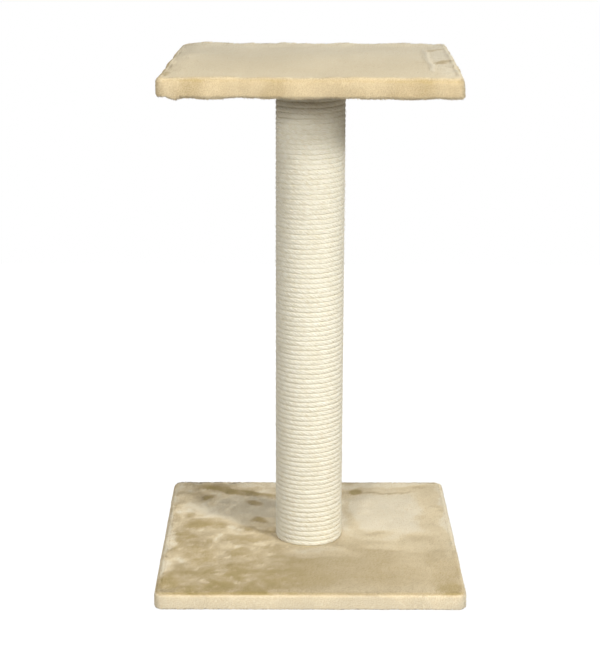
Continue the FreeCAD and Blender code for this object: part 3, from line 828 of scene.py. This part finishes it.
# Three strands go round the path, further up and down than out, because the turns press one another
# flat. Slack lets the lay run a little ahead or behind.
SLACK_RUN = 0.03
rope_tree, given, made = new_tree(
    "three_strand_rope",
    ("Strand radius", "Float", 0.0028),
    ("Strand offset", "Float", 0.0005),
    ("Spread", "Float", 3.1),
    ("Lay length", "Float", 0.0195),
    ("Slack", "Float", 0.9),
    ("Strands", "Int", 3),
    ("Sides", "Int", 8),
    ("Material", "Material", None),
)
line = add(rope_tree, "GeometryNodeMeshToCurve", inputs={"Mesh": given["Geometry"]})
run = add(rope_tree, "GeometryNodeSplineParameter")
marked = add(
    rope_tree,
    "GeometryNodeStoreNamedAttribute",
    {"data_type": "FLOAT", "domain": "POINT"},
    {"Geometry": line.outputs["Curve"], "Name": "along", "Value": run.outputs["Length"]},
)
strands = add(
    rope_tree,
    "GeometryNodeDuplicateElements",
    {"domain": "SPLINE"},
    {"Geometry": marked.outputs["Geometry"], "Amount": given["Strands"]},
)
along = add(rope_tree, "GeometryNodeInputNamedAttribute", {"data_type": "FLOAT"}, {"Name": "along"})
lays = add(
    rope_tree,
    "ShaderNodeMath",
    {"operation": "DIVIDE"},
    {0: along.outputs["Attribute"], 1: given["Lay length"]},
)
slack = add(
    rope_tree,
    "ShaderNodeTexNoise",
    {"noise_dimensions": "1D"},
    {"W": along.outputs["Attribute"], "Scale": 1 / SLACK_RUN, "Detail": 1.0},
)
loose_lays = add(
    rope_tree,
    "ShaderNodeMath",
    {"operation": "MULTIPLY_ADD"},
    {0: slack.outputs["Fac"], 1: given["Slack"], 2: lays.outputs[0]},
)
which = add(
    rope_tree,
    "ShaderNodeMath",
    {"operation": "DIVIDE"},
    {0: strands.outputs["Duplicate Index"], 1: given["Strands"]},
)
turned = add(
    rope_tree,
    "ShaderNodeMath",
    {"operation": "ADD"},
    {0: loose_lays.outputs[0], 1: which.outputs[0]},
)
angle = add(
    rope_tree, "ShaderNodeMath", {"operation": "MULTIPLY"}, {0: turned.outputs[0], 1: 2 * math.pi}
)
cosine = add(rope_tree, "ShaderNodeMath", {"operation": "COSINE"}, {0: angle.outputs[0]})
sine = add(rope_tree, "ShaderNodeMath", {"operation": "SINE"}, {0: angle.outputs[0]})
spread_sine = add(
    rope_tree, "ShaderNodeMath", {"operation": "MULTIPLY"}, {0: sine.outputs[0], 1: given["Spread"]}
)
middle = add(rope_tree, "GeometryNodeInputPosition").outputs["Position"]
level = add(
    rope_tree, "ShaderNodeVectorMath", {"operation": "MULTIPLY"}, {0: middle, 1: (1.0, 1.0, 0.0)}
)
out = add(
    rope_tree, "ShaderNodeVectorMath", {"operation": "NORMALIZE"}, {0: level.outputs["Vector"]}
)
tangent = add(rope_tree, "GeometryNodeInputTangent").outputs["Tangent"]
beside = add(
    rope_tree,
    "ShaderNodeVectorMath",
    {"operation": "CROSS_PRODUCT"},
    {0: tangent, 1: out.outputs["Vector"]},
)
out_share = add(
    rope_tree,
    "ShaderNodeVectorMath",
    {"operation": "SCALE"},
    {0: out.outputs["Vector"], "Scale": cosine.outputs[0]},
)
beside_share = add(
    rope_tree,
    "ShaderNodeVectorMath",
    {"operation": "SCALE"},
    {0: beside.outputs["Vector"], "Scale": spread_sine.outputs[0]},
)
round_way = add(
    rope_tree,
    "ShaderNodeVectorMath",
    {"operation": "ADD"},
    {0: out_share.outputs["Vector"], 1: beside_share.outputs["Vector"]},
)
offset = add(
    rope_tree,
    "ShaderNodeVectorMath",
    {"operation": "SCALE"},
    {0: round_way.outputs["Vector"], "Scale": given["Strand offset"]},
)
twisted = add(
    rope_tree,
    "GeometryNodeSetPosition",
    inputs={"Geometry": strands.outputs["Geometry"], "Offset": offset.outputs["Vector"]},
)
section = add(
    rope_tree,
    "GeometryNodeCurvePrimitiveCircle",
    inputs={"Resolution": given["Sides"], "Radius": given["Strand radius"]},
)
section_marked = add(
    rope_tree,
    "GeometryNodeStoreNamedAttribute",
    {"data_type": "FLOAT_VECTOR", "domain": "POINT"},
    {"Geometry": section.outputs["Curve"], "Name": "around", "Value": middle},
)
strand_mesh = add(
    rope_tree,
    "GeometryNodeCurveToMesh",
    inputs={
        "Curve": twisted.outputs["Geometry"],
        "Profile Curve": section_marked.outputs["Geometry"],
        "Fill Caps": True,
    },
)
end_tree(rope_tree, strand_mesh.outputs["Mesh"], given["Material"], made)

# Sisal: pale straw fibres that run along each strand, dry and matt, with odd darker ones. Real ones
# are about 0.2 mm wide, and these are drawn 0.5 mm wide so that they show.
FIBRE_WIDTH = 0.0005
FUZZ_DEPTH = 0.0006
FIBRE_RUN = 0.006
sisal, tree, shader = new_material("natural_sisal", Roughness=0.85, Specular_IOR_Level=0.2)
along = add(tree, "ShaderNodeAttribute", {"attribute_name": "along"})
around = add(tree, "ShaderNodeAttribute", {"attribute_name": "around"})
fine = add(
    tree,
    "ShaderNodeVectorMath",
    {"operation": "MULTIPLY"},
    {0: around.outputs["Vector"], 1: (1 / FIBRE_WIDTH, 1 / FIBRE_WIDTH, 0.0)},
)
slow = add(
    tree, "ShaderNodeMath", {"operation": "MULTIPLY"}, {0: along.outputs["Fac"], 1: 1 / FIBRE_RUN}
)
pushed = add(tree, "ShaderNodeCombineXYZ", inputs={"Z": slow.outputs[0]})
fibre_place = add(
    tree,
    "ShaderNodeVectorMath",
    {"operation": "ADD"},
    {0: fine.outputs["Vector"], 1: pushed.outputs["Vector"]},
)
fibres = add(
    tree,
    "ShaderNodeTexNoise",
    inputs={"Vector": fibre_place.outputs["Vector"], "Scale": 1.0, "Detail": 3.0},
)
straw = add(
    tree,
    "ShaderNodeValToRGB",
    {"stops": ((0.25, "#D8CCAA"), (0.42, "#EBE4CE"), (0.6, "#F5F1E1"), (0.85, "#FAF8EE"))},
    {"Fac": fibres.outputs["Fac"]},
)
fuzz = add(
    tree,
    "ShaderNodeBump",
    inputs={"Height": fibres.outputs["Fac"], "Distance": FUZZ_DEPTH, "Strength": 0.7},
)
tree.links.new(straw.outputs["Color"], shader.inputs["Base Color"])
tree.links.new(fuzz.outputs["Normal"], shader.inputs["Normal"])

# The winding is laid in four lengths that meet end to end. Its end turns are pressed flat against the
# base and the platform.
turns_each = ROPE_TURNS // LENGTHS
for length in range(LENGTHS):
    path = winding_path(length * turns_each, (length + 1) * turns_each)
    guide = new_piece("rope_guide", path, [(i, i + 1) for i in range(len(path) - 1)], [])
    rope = grown(guide, rope_tree, f"sisal_winding_{length + 1}", material=sisal)
    bpy.data.objects.remove(guide)
    spots = get_vectors(rope.data.vertices, "co")
    spots[:, 2] = np.clip(spots[:, 2], rope_low, rope_high)
    rope.data.vertices.foreach_set("co", spots.ravel())
    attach(rope, "post")
    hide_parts(f"sisal_rope_{length + 1}")

# Stray fibres: short bowed hairs, rooted on a sleeve just inside the rope's outer face and turned any
# way about it. Their radius, a share of their length, is drawn thicker than a real one's to show.
HAIR_THICK = 0.014
fibre_tree, given, made = new_tree(
    "stray_fibres",
    ("Fibres per square metre", "Float", 14000.0),
    ("Length", "Float", 0.005),
    ("Seed", "Int", 2),
    ("Material", "Material", None),
)
ends = add(
    fibre_tree,
    "GeometryNodeDistributePointsOnFaces",
    inputs={
        "Mesh": given["Geometry"],
        "Density": given["Fibres per square metre"],
        "Seed": given["Seed"],
    },
)
hue = add(
    fibre_tree,
    "FunctionNodeRandomValue",
    {"data_type": "FLOAT"},
    {2: 0.0, 3: 1.0, "Seed": given["Seed"]},
)
hued = add(
    fibre_tree,
    "GeometryNodeStoreNamedAttribute",
    {"data_type": "FLOAT", "domain": "POINT"},
    {"Geometry": ends.outputs["Points"], "Name": "along", "Value": hue.outputs[1]},
)
bow = add(
    fibre_tree,
    "GeometryNodeCurveQuadraticBezier",
    inputs={
        "Resolution": 4,
        "Start": (0.0, 0.0, -0.1),
        "Middle": (0.5, 0.0, 0.35),
        "End": (1.0, 0.25, 0.12),
    },
)
hair = add(
    fibre_tree, "GeometryNodeCurvePrimitiveCircle", inputs={"Resolution": 3, "Radius": HAIR_THICK}
)
fibre = add(
    fibre_tree,
    "GeometryNodeCurveToMesh",
    inputs={
        "Curve": bow.outputs["Curve"],
        "Profile Curve": hair.outputs["Curve"],
        "Fill Caps": True,
    },
)
outward = add(
    fibre_tree,
    "FunctionNodeAlignRotationToVector",
    {"axis": "Z"},
    {"Vector": ends.outputs["Normal"]},
)
spin_by = add(
    fibre_tree,
    "FunctionNodeRandomValue",
    {"data_type": "FLOAT"},
    {2: 0.0, 3: 2 * math.pi, "Seed": given["Seed"]},
)
spun = add(
    fibre_tree,
    "FunctionNodeAxisAngleToRotation",
    inputs={"Axis": (0.0, 0.0, 1.0), "Angle": spin_by.outputs[1]},
)
laid = add(
    fibre_tree,
    "FunctionNodeRotateRotation",
    {"rotation_space": "LOCAL"},
    {"Rotation": outward.outputs["Rotation"], "Rotate By": spun.outputs["Rotation"]},
)
size_by = add(
    fibre_tree,
    "FunctionNodeRandomValue",
    {"data_type": "FLOAT"},
    {2: 0.5, 3: 1.5, "Seed": given["Seed"]},
)
long = add(
    fibre_tree,
    "ShaderNodeMath",
    {"operation": "MULTIPLY"},
    {0: size_by.outputs[1], 1: given["Length"]},
)
hairs = add(
    fibre_tree,
    "GeometryNodeInstanceOnPoints",
    inputs={
        "Points": hued.outputs["Geometry"],
        "Instance": fibre.outputs["Mesh"],
        "Rotation": laid.outputs["Rotation"],
        "Scale": long.outputs[0],
    },
)
end_tree(fibre_tree, hairs.outputs["Instances"], given["Material"], made)

SIDES = 48
FIBRE_ROOT = WINDING_RADIUS + 0.0029
steps = [2 * math.pi * i / SIDES for i in range(SIDES)]
rims = [
    (FIBRE_ROOT * math.cos(step), FIBRE_ROOT * math.sin(step), z)
    for z in (rope_low + 2 * ROPE_THICK, rope_high - ROPE_THICK / 2)
    for step in steps
]
walls = [(i, (i + 1) % SIDES, SIDES + (i + 1) % SIDES, SIDES + i) for i in range(SIDES)]
sleeve = new_piece("fibre_guide", rims, [], walls)
strays = grown(sleeve, fibre_tree, "sisal_stray_fibres", material=sisal)
bpy.data.objects.remove(sleeve)
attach(strays, "post")


# The platform's lining: a square of brown non-woven felt, needled from waste fibre. It is stuck
# under the board inside the hem, and covers the raw chipboard there.

# Felt: matted fibres, dull and soft, with a fleck that is drawn coarser than the fibres so that it
# shows.
FELT_FLECK = 0.0016
felt, tree, shader = new_material(
    "brown_felt", Roughness=0.95, Sheen_Weight=0.2, Specular_IOR_Level=0.1
)
place = add(tree, "ShaderNodeTexCoord").outputs["Object"]
matted = add(
    tree, "ShaderNodeTexNoise", inputs={"Vector": place, "Scale": 1 / FELT_FLECK, "Detail": 4.0}
)
felt_colour = add(
    tree,
    "ShaderNodeValToRGB",
    {"stops": ((0.3, "#7E705A"), (0.55, "#998A70"), (0.8, "#AB9C82"))},
    {"Fac": matted.outputs["Fac"]},
)
tree.links.new(felt_colour.outputs["Color"], shader.inputs["Base Color"])
dress(felt, "platform_lining")


# The platform cover: the same plush over the smaller board, pulled less neatly, so that its edges
# are lumpy, its top shows fine streaks and its right end has a ridge.

PLATFORM_HALF = 0.1825
PLATFORM_TURN = math.radians(-1.2)
PLATFORM_TONE = 0.76
PLATFORM_EDGE_TONE = 0.6
DRAWN_IN = 0.0015
RIDGE_PLACE = 0.152
RIDGE_HEIGHT = 0.0011
FLAP_PLACE = (-0.166, -0.184)
FLAP_SAG = 0.0035

# Its strokes are rows like the base's: marks on the top, and the lighter and darker lengths of its
# front edge.
PLATFORM_STROKES = (
    (176, 0, 20, 190, 0, 0.9),
    (157, 101, 9, 6, 20, 0.42),
    (164, 113, 13, 6, 30, 0.42),
    (170, 124, 9, 6, 30, 0.42),
    (167, -33, 11, 7, 10, 0.4),
    (171, -20, 15, 7, 15, 0.34),
    (176, -7, 10, 7, 20, 0.4),
    (141, -15, 7, 4, 0, 0.55),
    (-179, -150, 4, 18, 0, 0.35),
    (-177, 168, 6, 7, 0, 0.4),
)
PLATFORM_EDGE_STROKES = (
    (-176, -182, 16, 24, 0, 0.66),
    (-143, -182, 15, 24, 0, 0.48),
    (-94, -182, 30, 24, 0, 0.6),
    (-48, -182, 13, 24, 0, 0.48),
    (10, -182, 40, 24, 0, 0.58),
    (70, -182, 26, 24, 0, 0.6),
    (126, -182, 30, 24, 0, 0.44),
    (178, -182, 14, 24, 0, 0.54),
)
platform_low, platform_high = (corner.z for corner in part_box("platform_board"))
points, ways, zones, faces = wrapped_backing(PLATFORM_HALF, platform_low, platform_high, 0.0)

# The edges are lumpy, and the left one is drawn in. A ridge runs near the right end, and a flap sags
# from the hem at the front left.
shown = zones > 0
near_edge = ease(0.145, 0.178, np.maximum(abs(points[:, 0]), abs(points[:, 1])))
swell = near_edge * (0.0014 + 0.0012 * rumple(points, 0.04, 43) + 0.001 * rumple(points, 0.016, 45))
swell *= np.where(zones == 2, 1.5, 1.0)
swell += 0.0002 * rumple(points, 0.05, 47)
swell -= 0.0008 * near_edge * ease(0.0, -0.6, ways[:, 2])
swell -= DRAWN_IN * ease(-0.16, -0.18, points[:, 0])
points[shown] += (ways * swell[:, None])[shown]
ridge = ease(0.005, 0.0, abs(points[:, 0] - RIDGE_PLACE - 0.003 * rumple(points, 0.03, 49)))
ridge *= ease(0.13, 0.1, abs(points[:, 1])) * (zones == 1)
points[:, 2] += RIDGE_HEIGHT * ridge
flap = ease(0.011, 0.0, np.hypot(points[:, 0] - FLAP_PLACE[0], points[:, 1] - FLAP_PLACE[1]))
points[:, 2] -= FLAP_SAG * flap * (points[:, 2] < platform_low)

# The top is streaked from side to side and paler towards the back. The edges are blotched, darker
# along their upper rounding and painted paler along the lower, a painted light against the shade under
# it.
streaked = points * np.array([0.12, 1.0, 1.0])
tone = brushed_tone(points, PLATFORM_STROKES, PLATFORM_TONE, 0.5, 41)
tone += 0.16 * ease(-0.1, 0.17, points[:, 1])
tone += 0.04 * rumple(streaked, 0.005, 51) + 0.03 * rumple(points, 0.04, 53) + 0.2 * ridge
tone[zones == 3] = HEM_TONE
edge_share = ease(0.2, 0.9, np.hypot(ways[:, 0], ways[:, 1]))
edge_tone = brushed_tone(points, PLATFORM_EDGE_STROKES, PLATFORM_EDGE_TONE, 0.5, 42)
edge_tone += 0.1 * rumple(points, 0.02, 57)
# Painted light: the downward-facing lower rounding is made paler against the shade there.
edge_tone += 0.25 * ease(0.0, -0.6, ways[:, 2]) - 0.16 * ease(0.1, 0.5, ways[:, 2])
tone += (edge_tone - tone) * edge_share
swing = 0.3 + 0.15 * rumple(points, 0.08, 61)
nap = np.column_stack([np.cos(swing), np.sin(swing), -EDGE_FALL * edge_share])
lay = ways * PILE_STAND + nap * PILE_LEAN
lay /= np.linalg.norm(lay, axis=1)[:, None]

# The cover is made square and then turned with its board.
cosine, sine = math.cos(PLATFORM_TURN), math.sin(PLATFORM_TURN)
spin = np.array([[cosine, sine, 0], [-sine, cosine, 0], [0, 0, 1]])
points, lay = points @ spin, lay @ spin
plush_cover(
    "platform_plush", "platform", points, faces, zones, tone, lay, 9
)


# The studio: a white floor and world, a key lamp at the front right, a fill lamp at the front left, a
# weak lamp above the front, a wide one behind and two faint ones at the sides. The camera stands a
# little above the platform.


def seen_directly(tree):
    """1 for what the camera sees straight, in a reflection or through glass, and 0 for other light."""
    ray = add(tree, "ShaderNodeLightPath")
    straight = add(
        tree,
        "ShaderNodeMath",
        {"operation": "ADD"},
        {0: ray.outputs["Is Camera Ray"], 1: ray.outputs["Is Glossy Ray"]},
    )
    directly = add(
        tree,
        "ShaderNodeMath",
        {"operation": "ADD", "use_clamp": True},
        {0: straight.outputs[0], 1: ray.outputs["Is Transmission Ray"]},
    )
    return directly.outputs[0]


# The floor shows white with the object's soft shadow, but sends little light back up to the object.
FLOOR_REACH = 1.7
corners = [(x * FLOOR_REACH, y * FLOOR_REACH, 0) for x, y in ((-1, -1), (1, -1), (1, 1), (-1, 1))]
floor = new_piece("studio_floor", corners, [], [(0, 1, 2, 3)])
white, tree, shader = new_material("white_floor", Roughness=0.9, Base_Color=linear("#979085"))
glow = add(tree, "ShaderNodeEmission", inputs={"Strength": 0.9})
dim = add(tree, "ShaderNodeBsdfDiffuse", inputs={"Color": linear("#818181")})
both = add(tree, "ShaderNodeAddShader", inputs={0: glow.outputs[0], 1: dim.outputs[0]})
floor_mix = add(
    tree,
    "ShaderNodeMixShader",
    inputs={0: seen_directly(tree), 1: shader.outputs[0], 2: both.outputs[0]},
)
tree.links.new(floor_mix.outputs[0], tree.nodes["Material Output"].inputs["Surface"])
floor.data.materials.append(white)

AMBIENT = 0.1
world = bpy.data.worlds.new("studio")
bpy.context.scene.world = world
world.use_nodes = True
tree = world.node_tree
strength = add(
    tree,
    "ShaderNodeMapRange",
    inputs={"Value": seen_directly(tree), "To Min": AMBIENT, "To Max": 1.0},
)
tree.nodes["Background"].inputs["Color"].default_value = linear("#FFFFFF")
tree.links.new(strength.outputs["Result"], tree.nodes["Background"].inputs["Strength"])

# Each lamp is a disc: its name, its place, the point that it faces, its width and its watts.
for name, spot, aim, wide, watts in (
    ("key_lamp", (1.74, -1.93, 1.69), (0.0, 0.0, 0.4), 0.55, 47.0),
    ("fill_lamp", (-0.65, -2.42, 1.325), (0.0, 0.0, 0.4), 0.45, 30.0),
    ("front_lamp", (0.2, -1.1, 2.2), (0.0, 0.0, 0.3), 1.0, 11.0),
    ("back_lamp", (0.0, 2.0, 2.4), (0.0, 0.0, 0.3), 3.2, 47.0),
    ("left_lamp", (-2.2, -0.2, 0.8), (0.0, 0.0, 0.3), 1.2, 4.0),
    ("right_lamp", (2.2, 0.2, 0.8), (0.0, 0.0, 0.3), 1.2, 3.0),
):
    lamp_data = bpy.data.lights.new(name, "AREA")
    lamp_data.shape = "DISK"
    lamp_data.size = wide
    lamp_data.energy = watts
    lamp = bpy.data.objects.new(name, lamp_data)
    lamp.location = spot
    lamp.rotation_euler = (Vector(aim) - Vector(spot)).to_track_quat("-Z", "Y").to_euler()
    bpy.context.scene.collection.objects.link(lamp)

# The camera was solved from the photograph's outlines: its place in metres, and its angles in radians.
CAMERA_PLACE = (-0.0199, -2.2505, 0.9631)
CAMERA_TURN = -0.0030
CAMERA_TILT = -0.2758
CAMERA_ROLL = -0.0033
camera_data = bpy.data.cameras.new("camera")
camera_data.sensor_width = 36.0
camera_data.lens = 93.98
camera = bpy.data.objects.new("camera", camera_data)
camera.matrix_world = (
    Matrix.Translation(CAMERA_PLACE)
    @ Matrix.Rotation(CAMERA_TURN, 4, "Z")
    @ Matrix.Rotation(CAMERA_TILT, 4, "X")
    @ Matrix.Rotation(CAMERA_ROLL, 4, "Y")
    @ Matrix.Rotation(math.pi / 2, 4, "X")
)
bpy.context.scene.collection.objects.link(camera)
bpy.context.scene.camera = camera
bpy.context.scene.view_settings.view_transform = "Standard"
